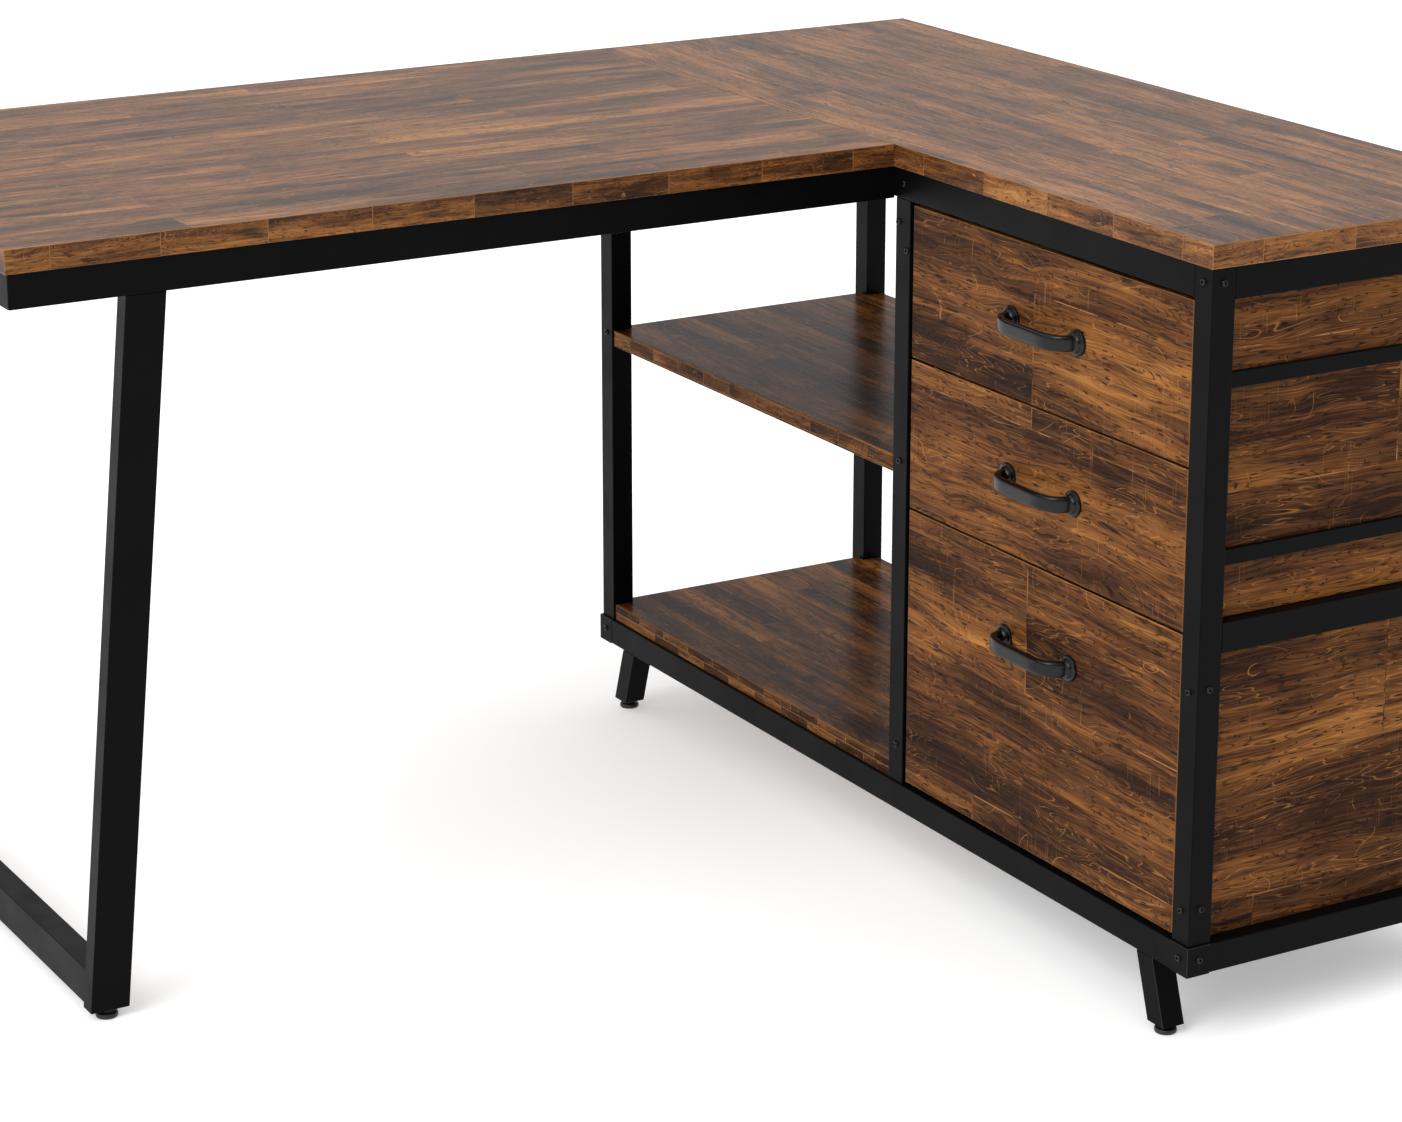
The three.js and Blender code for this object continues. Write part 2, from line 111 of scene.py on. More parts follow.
# %% [markdown]
# ## Wood-look laminate
# The boards are chipboard faced with melamine laminate: paper printed with a rustic wood, pressed
# under resin. The print shows long brown grain, charcoal smudges, swirls round knots, short dark
# cracks, pale scratches and the outlines of planks. The paper is flat, so the depth is nearly all
# colour, with only a faint pressed grain. A texture image would be quick but would fix its
# resolution, so each mark is made from noise stretched along the grain, sized in millimetres.


# %% Choose the grain's direction on each face
def grain_coordinates(tree, grain, seed, face_fineness, edge_fineness):
    """Millimetres along and across the grain. The grain follows a face's long way on every edge.
    The edge strips of a flat board carry a finer print than its face."""
    position = add(tree, "TexCoord")
    scaled = []
    for fineness in (face_fineness, edge_fineness):
        where = {0: position.outputs["Object"], "Scale": fineness / MM}
        where = add(tree, "VectorMath", where, operation="SCALE").outputs[0]
        scaled.append(add(tree, "SeparateXYZ", {0: where}).outputs)
    (x, y, _), (fine_x, fine_y, fine_z) = scaled
    along, across = (x, y) if grain == "X" else (y, x)
    facing = add(tree, "VectorMath", {0: position.outputs["Normal"]}, operation="ABSOLUTE")
    face = add(tree, "SeparateXYZ", {0: facing.outputs[0]}).outputs
    on_side = add(tree, "Math", {0: face[0], 1: 0.6}, operation="GREATER_THAN").outputs[0]
    on_end = add(tree, "Math", {0: face[1], 1: 0.6}, operation="GREATER_THAN").outputs[0]
    along = add(tree, "Mix", {0: on_side, 2: along, 3: fine_y}).outputs[0]
    along = add(tree, "Mix", {0: on_end, 2: along, 3: fine_x}).outputs[0]
    across = add(tree, "Mix", {0: on_side, 2: across, 3: fine_z}).outputs[0]
    across = add(tree, "Mix", {0: on_end, 2: across, 3: fine_z}).outputs[0]
    sheet = add(tree, "Math", {0: on_side, 1: 3.3, 2: seed}, operation="MULTIPLY_ADD").outputs[0]
    on_edge = add(tree, "Math", {0: on_side, 1: on_end}, operation="MAXIMUM").outputs[0]
    return along, across, sheet, facing.outputs[0], on_edge


print("Grain runs along each board")


# %% Stretch a noise along the grain
def stretched_noise(tree, where, length, width, detail=2.0, rough=0.55):
    """Smooth random values from 0 to 1, with patches about this long and wide in millimetres."""
    scaled = add(
        tree, "VectorMath", {0: where, 1: (1 / length, 1 / width, 1.0)}, operation="MULTIPLY"
    )
    noise = add(
        tree,
        "TexNoise",
        {"Vector": scaled.outputs[0], "Scale": 1.0, "Detail": detail, "Roughness": rough},
    )
    return noise.outputs[0]


# %% Print the planks and the grain
RAMP = [(0.34, "1a0f09"), (0.43, "3a2113"), (0.50, "5f3a1e"), (0.57, "855429"), (0.68, "b1773d")]


def print_grain(tree, flat, along, across, sheet, plank_length, plank_width, tone_and_painted_light):
    """The wood's colour before its marks, and the coordinates and noises that the marks follow."""
    planks = add(
        tree,
        "TexBrick",
        {
            "Vector": flat,
            "Color1": (0, 0, 0, 1),
            "Color2": (1, 1, 1, 1),
            "Mortar": (0.5, 0.5, 0.5, 1),
            "Scale": 1.0,
            "Mortar Size": 0.7,
            "Mortar Smooth": 0.3,
            "Brick Width": plank_length,
            "Row Height": plank_width,
        },
        offset=0.37,
        offset_frequency=2,
        squash=0.7,
        squash_frequency=3,
    )
    tint = add(tree, "Math", {0: planks.outputs["Color"], 1: 0.5}, operation="SUBTRACT").outputs[0]

    # Each plank takes its grain from another place, and the grain wanders and swirls.
    moved = add(tree, "Math", {0: tint, 1: 777.0, 2: along}, operation="MULTIPLY_ADD").outputs[0]
    layer = add(tree, "Math", {0: tint, 1: 2.3, 2: sheet}, operation="MULTIPLY_ADD").outputs[0]
    plain = add(tree, "CombineXYZ", {0: moved, 1: across, 2: layer}).outputs[0]
    wander = stretched_noise(tree, plain, 400, 130, 2)
    swirl = stretched_noise(tree, plain, 80, 34, 2)
    knotty = stretched_noise(tree, plain, 260, 120, 1)
    knots = add(
        tree,
        "MapRange",
        {0: knotty, 1: 0.55, 2: 0.70, 3: 5.0, 4: 34.0},
        interpolation_type="SMOOTHSTEP",
    ).outputs[0]
    bent = add(tree, "Math", {0: swirl, 1: 0.5}, operation="SUBTRACT").outputs[0]
    bent = add(tree, "Math", {0: bent, 1: knots, 2: across}, operation="MULTIPLY_ADD").outputs[0]
    bent = add(tree, "Math", {0: wander, 1: 42.0, 2: bent}, operation="MULTIPLY_ADD").outputs[0]
    wood = add(tree, "CombineXYZ", {0: moved, 1: bent, 2: layer}).outputs[0]

    # Broad bands, streaks and fibres, each finer than the last, add up to the shade.
    bands = stretched_noise(tree, wood, 560, 66, 3.5, 0.62)
    streaks = stretched_noise(tree, wood, 170, 6, 4, 0.65)
    fibres = stretched_noise(tree, wood, 60, 1.7, 3, 0.6)
    # The tone lifts or lowers the whole print. On the worktops it is set lighter, as painted light
    # from above.
    shade = add(tree, "Math", {0: tint, 1: 3.0 / plank_width, 2: tone_and_painted_light}, operation="MULTIPLY_ADD")
    for noise, share in ((bands, 0.56), (streaks, 0.34), (fibres, 0.22)):
        shade = add(
            tree, "Math", {0: noise, 1: share, 2: shade.outputs[0]}, operation="MULTIPLY_ADD"
        )
    colours = add(tree, "ValToRGB", {0: shade.outputs[0]})
    stops = colours.color_ramp.elements
    while len(stops) < len(RAMP):
        stops.new(0.5)
    for stop, (place, code) in zip(stops, RAMP):
        stop.position = place
        stop.color = paint(code)
    return colours.outputs[0], plain, wood, fibres, planks.outputs["Fac"]


def tinted(tree, colour, amount, code):
    """The colour with some of another one printed over it."""
    return add(tree, "Mix", {0: amount, 6: colour, 7: paint(code)}, data_type="RGBA").outputs[2]


def arris_line(tree, facing, start, end, strength):
    """How much of a thin line shows where a rounded edge faces along no axis."""
    facing = add(tree, "SeparateXYZ", {0: facing}).outputs
    flatness = add(tree, "Math", {0: facing[0], 1: facing[1]}, operation="MAXIMUM").outputs[0]
    flatness = add(tree, "Math", {0: flatness, 1: facing[2]}, operation="MAXIMUM").outputs[0]
    span = {0: flatness, 1: start, 2: end, 3: strength, 4: 0.0}
    return add(tree, "MapRange", span).outputs[0]


print("The laminate has", len(RAMP), "browns")


# %% Print the marks
def level_lines(tree, noise, levels, width, strength):
    """Thin lines where a slow noise crosses evenly spaced levels, as on a map of hills."""
    level = add(tree, "Math", {0: noise, 1: levels}, operation="MULTIPLY").outputs[0]
    level = add(tree, "Math", {0: level, 1: 0.5}, operation="PINGPONG").outputs[0]
    return add(tree, "MapRange", {0: level, 1: 0.0, 2: width, 3: strength, 4: 0.0}).outputs[0]


def print_marks(tree, colour, flat, plain, wood, seams, on_edge):
    """Smudges, etched lines, scratches, saw marks, plank outlines and cracks over the grain."""
    # Charcoal smudges lie along the grain.
    smudges = stretched_noise(tree, wood, 170, 26, 4, 0.65)
    smudges = add(
        tree,
        "MapRange",
        {0: smudges, 1: 0.53, 2: 0.70, 3: 0.0, 4: 0.8},
        interpolation_type="SMOOTHSTEP",
    ).outputs[0]
    colour = tinted(tree, colour, smudges, "21160f")
    strokes = stretched_noise(tree, wood, 46, 9, 2, 0.5)
    strokes = add(tree, "MapRange", {0: strokes, 1: 0.66, 2: 0.72, 3: 0.0, 4: 0.8}).outputs[0]
    colour = tinted(tree, colour, strokes, "19130f")

    # Etched grain: thin dark lines and pale lines follow the figure, about 5 mm apart.
    figure = stretched_noise(tree, wood, 230, 26, 2.0, 0.5)
    patches = stretched_noise(tree, plain, 90, 40, 3)
    here = add(tree, "MapRange", {0: patches, 1: 0.40, 2: 0.54, 3: 0.15, 4: 1.0}).outputs[0]
    there = add(tree, "MapRange", {0: patches, 1: 0.42, 2: 0.52, 3: 1.0, 4: 0.0}).outputs[0]
    etched = level_lines(tree, figure, 30.0, 0.20, 0.85)
    etched = add(tree, "Math", {0: etched, 1: here}, operation="MULTIPLY").outputs[0]
    colour = tinted(tree, colour, etched, "24140b")
    shifted = add(tree, "Math", {0: figure, 1: 0.0075}, operation="ADD").outputs[0]
    raised = level_lines(tree, shifted, 26.0, 0.10, 0.45)
    raised = add(tree, "Math", {0: raised, 1: there}, operation="MULTIPLY").outputs[0]
    colour = tinted(tree, colour, raised, "c08446")

    # Pale scratches wander off the grain in long smooth arcs, broken into lengths.
    hills = stretched_noise(tree, plain, 150, 75, 1.0, 0.4)
    scratch = level_lines(tree, hills, 11.0, 0.018, 0.6)
    broken = stretched_noise(tree, plain, 60, 30, 2)
    broken = add(tree, "MapRange", {0: broken, 1: 0.52, 2: 0.60, 3: 0.0, 4: 1.0}).outputs[0]
    scratch = add(tree, "Math", {0: scratch, 1: broken}, operation="MULTIPLY").outputs[0]
    colour = tinted(tree, colour, scratch, "b9814a")

    # Saw marks run straight across the grain, some dark and some pale.
    saw = stretched_noise(tree, flat, 1.6, 70, 2)
    sawn = stretched_noise(tree, flat, 90, 60, 1)
    for start, end, strength, code in ((0.36, 0.24, 0.5, "26160d"), (0.62, 0.74, 0.4, "a87540")):
        cut = add(tree, "MapRange", {0: saw, 1: start, 2: end, 3: 0.0, 4: strength}).outputs[0]
        zone = add(tree, "MapRange", {0: sawn, 1: 0.50, 2: 0.62, 3: 0.0, 4: 1.0}).outputs[0]
        cut = add(tree, "Math", {0: cut, 1: zone}, operation="MULTIPLY").outputs[0]
        colour = tinted(tree, colour, cut, code)

    # Plank outlines show here and there on a face, and all along an edge strip.
    shown = add(tree, "Math", {0: broken, 1: on_edge}, operation="MAXIMUM").outputs[0]
    seam = add(tree, "Math", {0: seams, 1: shown}, operation="MULTIPLY").outputs[0]
    seam = add(tree, "Math", {0: seam, 1: 0.6}, operation="MULTIPLY").outputs[0]
    colour = tinted(tree, colour, seam, "b9824a")

    # Round worm pits, one at most in each cell 24 mm across.
    pits = add(
        tree, "TexVoronoi", {"Vector": plain, "Scale": 1 / 24}, voronoi_dimensions="2D"
    ).outputs["Distance"]
    pits = add(tree, "MapRange", {0: pits, 1: 0.035, 2: 0.06, 3: 0.85, 4: 0.0}).outputs[0]
    colour = tinted(tree, colour, pits, "160d08")

    # Short dark cracks lie along the grain, one at most in each cell 38 mm by 5.5 mm.
    cell = add(
        tree, "VectorMath", {0: wood, 1: (1 / 38, 1 / 5.5, 1.0)}, operation="MULTIPLY"
    ).outputs[0]
    cracks = add(tree, "TexVoronoi", {"Vector": cell, "Scale": 1.0}, voronoi_dimensions="2D")
    hit = add(
        tree, "MapRange", {0: cracks.outputs["Distance"], 1: 0.09, 2: 0.15, 3: 0.9, 4: 0.0}
    ).outputs[0]
    chosen = add(tree, "SeparateXYZ", {0: cracks.outputs["Color"]}).outputs[0]
    chosen = add(tree, "Math", {0: chosen, 1: 0.42}, operation="LESS_THAN").outputs[0]
    hit = add(tree, "Math", {0: hit, 1: chosen}, operation="MULTIPLY").outputs[0]
    return tinted(tree, colour, hit, "180e08"), hit


print("The marks are ready to print")


# %% Press the laminate
def laminate(name, grain, seed, gloss, sheen, plank, tone_and_painted_light=-0.07, fineness=(1.0, 1.0)):
    """A board's laminate. The plank is its length and width in millimetres on the face."""
    material, tree, shader = new_material(name, Metallic=0.0, Roughness=gloss, IOR=1.5)
    shader.inputs["Specular IOR Level"].default_value = sheen
    along, across, sheet, facing, on_edge = grain_coordinates(tree, grain, seed, *fineness)
    if fineness[0] == fineness[1]:
        on_edge = 0.0  # an upright board shows its face, whose planks are long
    plank_length = add(tree, "Mix", {0: on_edge, 2: plank[0], 3: 0.36 * plank[0]}).outputs[0]
    flat = add(tree, "CombineXYZ", {0: along, 1: across, 2: sheet}).outputs[0]
    colour, plain, wood, fibres, seams = print_grain(
        tree, flat, along, across, sheet, plank_length, plank[1], tone_and_painted_light
    )
    colour, cracks = print_marks(tree, colour, flat, plain, wood, seams, on_edge)

    # A thin paler line is painted along each rounded arris. It is a painted highlight, where the
    # edge would catch the light.
    arris = arris_line(tree, facing, 0.88, 0.96, 0.7)
    colour = tinted(tree, colour, arris, "b98552")
    tree.links.new(colour, shader.inputs["Base Color"])

    matt = add(tree, "MapRange", {0: fibres, 1: 0.3, 2: 0.7, 3: gloss + 0.07, 4: gloss - 0.04})
    tree.links.new(matt.outputs[0], shader.inputs["Roughness"])
    height = add(tree, "Math", {0: cracks, 1: -0.8, 2: fibres}, operation="MULTIPLY_ADD")
    bump = add(
        tree, "Bump", {"Height": height.outputs[0], "Distance": 0.06 * MM, "Strength": 0.5}
    )
    tree.links.new(bump.outputs[0], shader.inputs["Normal"])
    return material


print("The press is ready")

# %% Dress the boards
# The worktops take a lighter tone than the other boards. This is painted light, standing in for the
# stronger light that falls on them from above.
WORKTOP = {"gloss": 0.38, "sheen": 0.16, "tone_and_painted_light": -0.03, "plank": (620, 64), "fineness": (1.3, 2.2)}
SHELF = {"gloss": 0.26, "sheen": 0.03, "plank": (330, 30), "fineness": (1.0, 2.2)}
UPRIGHT = {"gloss": 0.46, "sheen": 0.05, "plank": (760, 130)}
BOARDS = {
    "main_top": laminate("main_worktop_laminate", "X", 1.0, **WORKTOP),
    "return_top": laminate("return_worktop_laminate", "Y", 9.0, **WORKTOP),
    "shelf_upper": laminate("upper_shelf_laminate", "Y", 21.0, **SHELF),
    "shelf_lower": laminate("lower_shelf_laminate", "Y", 33.0, **SHELF),
    "end_panel_upper": laminate("upper_end_panel_laminate", "X", 47.0, **UPRIGHT),
    "end_panel_lower": laminate("lower_end_panel_laminate", "X", 52.0, **UPRIGHT),
    "partition_panel": laminate("partition_laminate", "X", 64.0, **UPRIGHT),
    "outer_side_panel": laminate("outer_side_panel_laminate", "Y", 71.0, **UPRIGHT),
    "drawer_front_upper": laminate("upper_drawer_front_laminate", "Y", 83.0, **UPRIGHT),
    "drawer_front_middle": laminate("middle_drawer_front_laminate", "Y", 95.0, **UPRIGHT),
    "drawer_front_file": laminate("file_drawer_front_laminate", "Y", 104.0, **UPRIGHT),
}


def dress(node, material):
    """Gives a piece of the desk one material in place of its plain one."""
    for slot in node.material_slots:
        slot.material = material


for name, material in BOARDS.items():
    dress(nodes[name], material)
print(len(BOARDS), "boards are dressed")

# %% [markdown]
# ## Powder-coated steel
# The frame is square tube and angle, sprayed with dry black powder and baked. The coat is satin,
# a tenth of a millimetre thick, with a fine orange-peel surface that softens every reflection.


# %% Bake the powder coat
def powder_coat(name, code, roughness, sheen, peel, painted_edge_highlight=0.0):
    """A sprayed and baked coat. Peel is the height of its dimples, and the last argument the
    strength of a painted highlight along each arris."""
    material, tree, shader = new_material(name, Metallic=0.0, Roughness=roughness, IOR=1.5)
    shader.inputs["Specular IOR Level"].default_value = sheen
    coordinates = add(tree, "TexCoord").outputs
    position = coordinates["Object"]
    # Real orange peel is under a millimetre across. It is drawn at 1.5 mm, so that it shows.
    dimples = add(
        tree, "TexNoise", {"Vector": position, "Scale": 1 / (1.5 * MM), "Detail": 2.0}
    ).outputs[0]
    clouds = add(
        tree, "TexNoise", {"Vector": position, "Scale": 1 / (60 * MM), "Detail": 3.0}
    ).outputs[0]
    handled = add(
        tree, "MapRange", {0: clouds, 1: 0.35, 2: 0.65, 3: roughness - 0.04, 4: roughness + 0.06}
    )
    tree.links.new(handled.outputs[0], shader.inputs["Roughness"])
    dark = paint(code)
    light = tuple(c * 1.35 for c in dark[:3]) + (1.0,)
    colour = add(tree, "Mix", {0: clouds, 6: dark, 7: light}, data_type="RGBA").outputs[2]
    # A paler line is painted along each arris. It is a painted highlight, for the line of light
    # that a rounded edge catches.
    facing = add(tree, "VectorMath", {0: coordinates["Normal"]}, operation="ABSOLUTE").outputs[0]
    colour = tinted(tree, colour, arris_line(tree, facing, 0.80, 0.90, painted_edge_highlight), "6a6c70")
    tree.links.new(colour, shader.inputs["Base Color"])
    bump = add(tree, "Bump", {"Height": dimples, "Distance": peel, "Strength": 0.35})
    tree.links.new(bump.outputs[0], shader.inputs["Normal"])
    return material


# The last value is the strength of the painted highlight along the steel's arrises.
black_powder_coat = powder_coat("black_powder_coated_steel", "060607", 0.42, 0.06, 0.08 * MM, 0.6)
STEEL_STARTS = ("apron", "leg_frame", "post", "top_rail", "bottom_rail", "end_bar", "short_leg")
steel = [node for name, node in nodes.items() if name.startswith(STEEL_STARTS)]
for node in steel:
    dress(node, black_powder_coat)
print(len(steel), "steel pieces are coated")

# %% [markdown]
# ## Drawer boxes and slides
# The boxes are chipboard in dark melamine, with a fine speckle. The slides are folded from
# zinc-plated strip, whose plating shows as a soft, cloudy spangle.

# %% Speckled melamine for the drawer boxes
melamine, tree, shader = new_material("dark_melamine_board", Metallic=0.0, Roughness=0.55, IOR=1.5)
position = add(tree, "TexCoord").outputs["Object"]
speckle = add(
    tree, "TexNoise", {"Vector": position, "Scale": 1 / (2.5 * MM), "Detail": 3.0}
).outputs[0]
colour = add(
    tree, "Mix", {0: speckle, 6: paint("1f1c1a"), 7: paint("373230")}, data_type="RGBA"
).outputs[2]
tree.links.new(colour, shader.inputs["Base Color"])
bump = add(tree, "Bump", {"Height": speckle, "Distance": 0.05 * MM, "Strength": 0.4})
tree.links.new(bump.outputs[0], shader.inputs["Normal"])
boxes = [node for name, node in nodes.items() if name.startswith("drawer_box")]
for node in boxes:
    dress(node, melamine)
print(len(boxes), "drawer boxes are dressed")

# %% Zinc plating for the slides
zinc, tree, shader = new_material("zinc_plated_steel", Metallic=1.0, Roughness=0.38)
position = add(tree, "TexCoord").outputs["Object"]
spangle = add(
    tree, "TexVoronoi", {"Vector": position, "Scale": 1 / (5 * MM)}, feature="SMOOTH_F1"
).outputs["Color"]
spangle = add(tree, "SeparateXYZ", {0: spangle}).outputs[0]
colour = add(
    tree, "Mix", {0: spangle, 6: paint("8a8f94"), 7: paint("a9adb0")}, data_type="RGBA"
).outputs[2]
tree.links.new(colour, shader.inputs["Base Color"])
rough = add(tree, "MapRange", {0: spangle, 3: 0.32, 4: 0.46}).outputs[0]
tree.links.new(rough, shader.inputs["Roughness"])
slides = [node for name, node in nodes.items() if name.startswith("slide_")]
for node in slides:
    dress(node, zinc)
print(len(slides), "slide parts are plated")

# %% [markdown]
# ## Soft edges
# No real edge is perfectly sharp. A modifier first welds the model's loose corners, then another
# rounds each edge by a fraction of a millimetre, so that it catches a thin line of light.

# %% Weld loose corners
weld_group = bpy.data.node_groups.new("weld_and_flatten", "GeometryNodeTree")
weld_group.interface.new_socket("Geometry", in_out="INPUT", socket_type="NodeSocketGeometry")
weld_group.interface.new_socket("Geometry", in_out="OUTPUT", socket_type="NodeSocketGeometry")
entry = weld_group.nodes.new("NodeGroupInput")
leave = weld_group.nodes.new("NodeGroupOutput")
merge = weld_group.nodes.new("GeometryNodeMergeByDistance")
merge.inputs["Distance"].default_value = 0.01 * MM
flat_shade = weld_group.nodes.new("GeometryNodeSetShadeSmooth")
flat_shade.inputs["Shade Smooth"].default_value = False
weld_group.links.new(entry.outputs[0], merge.inputs[0])
weld_group.links.new(merge.outputs[0], flat_shade.inputs[0])
weld_group.links.new(flat_shade.outputs[0], leave.inputs[0])
print("Corners weld within 0.01 mm")


# %% Round the edges
def soften(node, radius, segments=2):
    """Welds a piece's corners and rounds its edges, without changing its own mesh."""
    node.modifiers.new("weld", "NODES").node_group = weld_group
    bevel = node.modifiers.new("soft_edge", "BEVEL")
    bevel.width = radius
    bevel.segments = segments
    bevel.limit_method = "ANGLE"
    bevel.angle_limit = math.radians(40)


for name in BOARDS:
    soften(nodes[name], 0.8 * MM)
for node in steel:
    soften(node, 0.7 * MM)
for node in boxes:
    soften(node, 0.6 * MM)
print("Edges are soft on", len(BOARDS) + len(steel) + len(boxes), "pieces")

# %% [markdown]
# ## Turned and swept hardware
# Pulls, levelling feet and screws are rounded, so they are built as smooth meshes from a profile
# that is turned about an axis, or swept along a path.


# %% Turn a profile about an axis
def turned(bm, profile, place, axis, sides=48, flats=()):
    """Adds a solid of revolution. The profile is (radius, height) pairs from axis to axis. The
    pairs whose numbers are in flats are drawn as a hexagon."""
    to_axis = Vector((0, 0, 1)).rotation_difference(Vector(axis)).to_matrix().to_4x4()
    seat = Matrix.Translation(place) @ to_axis
    rings = []
    for number, (radius, height) in enumerate(profile):
        if radius == 0:
            rings.append([bm.verts.new(seat @ Vector((0, 0, height)))])
            continue
        ring = []
        for i in range(sides):
            angle = 2 * math.pi * i / sides
            reach = radius
            if number in flats:
                reach /= math.cos((angle % (math.pi / 3)) - math.pi / 6)
            point = Vector((reach * math.cos(angle), reach * math.sin(angle), height))
            ring.append(bm.verts.new(seat @ point))
        rings.append(ring)
    for low, high in zip(rings, rings[1:]):
        for i in range(sides):
            j = (i + 1) % sides
            if len(low) == 1:
                bm.faces.new((low[0], high[j], high[i]))
            elif len(high) == 1:
                bm.faces.new((low[i], low[j], high[0]))
            else:
                bm.faces.new((low[i], low[j], high[j], high[i]))


def finish_piece(bm, name, material, body, smooth_angle=35):
    """Turns the drawn mesh into a piece of the desk that rides on one body."""
    bmesh.ops.recalc_face_normals(bm, faces=bm.faces)
    for face in bm.faces:
        face.smooth = True
    for edge in bm.edges:
        if len(edge.link_faces) == 2 and edge.calc_face_angle(0) > math.radians(smooth_angle):
            edge.smooth = False
    mesh = bpy.data.meshes.new(name)
    bm.to_mesh(mesh)
    bm.free()
    mesh.materials.append(material)
    piece = bpy.data.objects.new(name, mesh)
    bpy.context.scene.collection.objects.link(piece)
    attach(piece, body)
    return piece


print("Turning is ready")

# %% [markdown]
# ## Drawer pulls
# Each pull is a zinc casting in black lacquer: a flat strap that curves back to two stepped round
# feet. The strap is a rounded section swept along a path of one straight run and two curves.

# %% Sweep the pull's strap
def pull_path(reach, half_span, bend):
    """The strap's middle line from foot to foot, in the plane of reach and span."""
    curve = []
    for i in range(17):
        t = i / 16
        curve.append((reach * t * (2 - t), -half_span + bend * t * t))
    straight = [(reach, (half_span - bend) * (i / 6 - 1)) for i in range(1, 12)]
    return curve + straight + [(out, -side) for out, side in curve[::-1]]


def sweep(bm, path, half_thick, half_tall, sides=40):
    """Adds a strap with rounded corners along a flat path that leaves the drawer front."""
    rings = []
    squareness = 0.55  # 1 is an ellipse, and 0 a rectangle
    for i, place in enumerate(path):
        ahead = path[min(i + 1, len(path) - 1)] - path[max(i - 1, 0)]
        ahead.normalize()
        side = Vector((0, 0, 1)).cross(ahead)
        ring = []
        for k in range(sides):
            angle = 2 * math.pi * k / sides
            across = math.copysign(abs(math.cos(angle)) ** squareness, math.cos(angle))
            up = math.copysign(abs(math.sin(angle)) ** squareness, math.sin(angle))
            offset = side * half_thick * across + Vector((0, 0, half_tall * up))
            ring.append(bm.verts.new(place + offset))
        rings.append(ring)
    for low, high in zip(rings, rings[1:]):
        for k in range(sides):
            m = (k + 1) % sides
            bm.faces.new((low[k], low[m], high[m], high[k]))
    bm.faces.new(rings[0][::-1])
    bm.faces.new(rings[-1])


black_lacquer = powder_coat("black_lacquered_zinc", "060607", 0.24, 0.32, 0.012 * MM)
STRAP_THICK = 8 * MM
STRAP_TALL = 15 * MM
STRAP_BEND = 30 * MM
FOOT_PROFILE = [
    (0, 0),
    (12.2, 0),
    (12.5, 0.5),
    (12.5, 2.0),
    (11.9, 2.9),
    (10.2, 3.4),
    (9.4, 3.9),
    (9.0, 5.2),
    (8.0, 6.4),
    (6.6, 7.2),
    (0, 7.4),
]
for drawer in ("upper", "middle", "file"):
    low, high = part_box("pull_" + drawer)
    face = high.x
    middle = (low + high) / 2
    half_span = (high.y - low.y) / 2 - max(r for r, _ in FOOT_PROFILE) * MM
    reach = face - low.x - STRAP_THICK / 2
    flat_path = pull_path(reach, half_span, STRAP_BEND)
    path = [Vector((face - out, middle.y + side, middle.z)) for out, side in flat_path]
    bm = bmesh.new()
    sweep(bm, path, STRAP_THICK / 2, STRAP_TALL / 2)
    for side in (-1, 1):
        seat = Vector((face, middle.y + side * half_span, middle.z))
        turned(bm, [(r * MM, h * MM) for r, h in FOOT_PROFILE], seat, (-1, 0, 0))
    name = "pull_detail_" + drawer
    pull = finish_piece(bm, name, black_lacquer, "drawer_" + drawer)
    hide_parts("pull_" + drawer)
print("Each pull stands", round((face - low.x) / MM), "mm proud")

# %% [markdown]
# ## Levelling feet
# Moulded nylon pads on threaded stems. The pad's rim is rounded, and the hexagon above it takes a
# spanner.

# %% Turn the levelling feet
nylon, tree, shader = new_material("moulded_nylon", Metallic=0.0, Roughness=0.48, IOR=1.53)
position = add(tree, "TexCoord").outputs["Object"]
grit = add(
    tree, "TexNoise", {"Vector": position, "Scale": 1 / (0.8 * MM), "Detail": 2.0}
).outputs[0]
colour = add(
    tree, "Mix", {0: grit, 6: paint("0b0b0c"), 7: paint("1a1a1b")}, data_type="RGBA"
).outputs[2]
tree.links.new(colour, shader.inputs["Base Color"])
bump = add(tree, "Bump", {"Height": grit, "Distance": 0.04 * MM, "Strength": 0.4})
tree.links.new(bump.outputs[0], shader.inputs["Normal"])

levellers = sorted(name for name in nodes if name.startswith("leveller"))
for name in levellers:
    low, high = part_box(name)
    middle = (low + high) / 2
    rim = (high.x - low.x) / 2
    pad = [
        (0, 0),
        (rim - 1.6 * MM, 0),
        (rim - 0.5 * MM, 0.4 * MM),
        (rim, 1.4 * MM),
        (rim, 3.6 * MM),
        (rim - 0.6 * MM, 4.6 * MM),
        (rim - 1.8 * MM, 5.0 * MM),
        (6.2 * MM, 5.3 * MM),
        (5.6 * MM, 5.4 * MM),
        (5.6 * MM, 8.2 * MM),
        (4.0 * MM, 8.6 * MM),
        (4.0 * MM, high.z),
        (0, high.z),
    ]
    bm = bmesh.new()
    turned(bm, pad, Vector((middle.x, middle.y, low.z)), (0, 0, 1), flats=(8, 9))
    foot = finish_piece(bm, name + "_detail", nylon, name)
    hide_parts(name)
print(len(levellers), "feet are turned")

# %% [markdown]
# ## Corner plates and screws
# The frame comes flat-packed. Plates at the cabinet's corners and pan-head screws through the
# posts hold it together. Each head is a low dome with a hexagon socket.

# %% Cut the corner plates
PLATE = 0.5 * MM
frame_low, front_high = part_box("bottom_rail_front")
frame_high = Vector((front_high.x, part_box("bottom_rail_back")[1].y, front_high.z))
post_low, post_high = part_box("post_front_inner")
post_side = post_high.x - post_low.x


